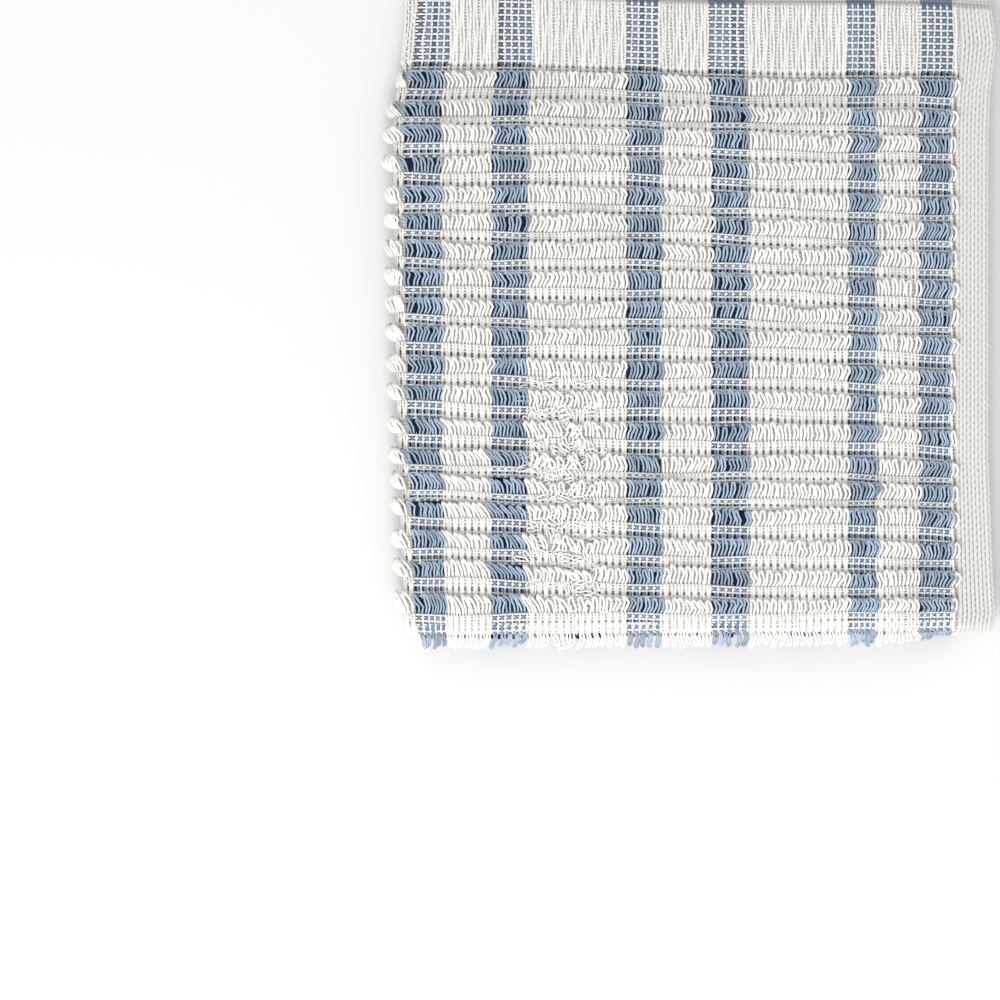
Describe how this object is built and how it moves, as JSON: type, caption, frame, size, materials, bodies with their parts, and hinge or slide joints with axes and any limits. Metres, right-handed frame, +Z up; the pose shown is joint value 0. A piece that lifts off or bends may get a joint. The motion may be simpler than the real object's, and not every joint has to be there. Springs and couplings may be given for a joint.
{
  "type": "folded striped terry dishcloth",
  "caption": "Dry cotton dishcloth with rows of loop pile and narrow blue stripes, folded in quarters with its end and side hems at the open edges, lying flat.",
  "frame": {"origin": "under the middle of the folded cloth, on the surface it lies on", "axes": "+Z up, away from the surface; +Y along the stripes, from the crease towards the end hems; +X from the book fold towards the side hems"},
  "size_m": [0.1544, 0.1666, 0.0146],
  "materials": {
    "white_cotton": "matte loop pile, undyed cotton yarn",
    "blue_cotton": "matte loop pile, dyed cotton yarn of the stripes"
  },
  "bodies": {
    "root": {"cloth": "white_cotton"}
  },
  "joints": []
}
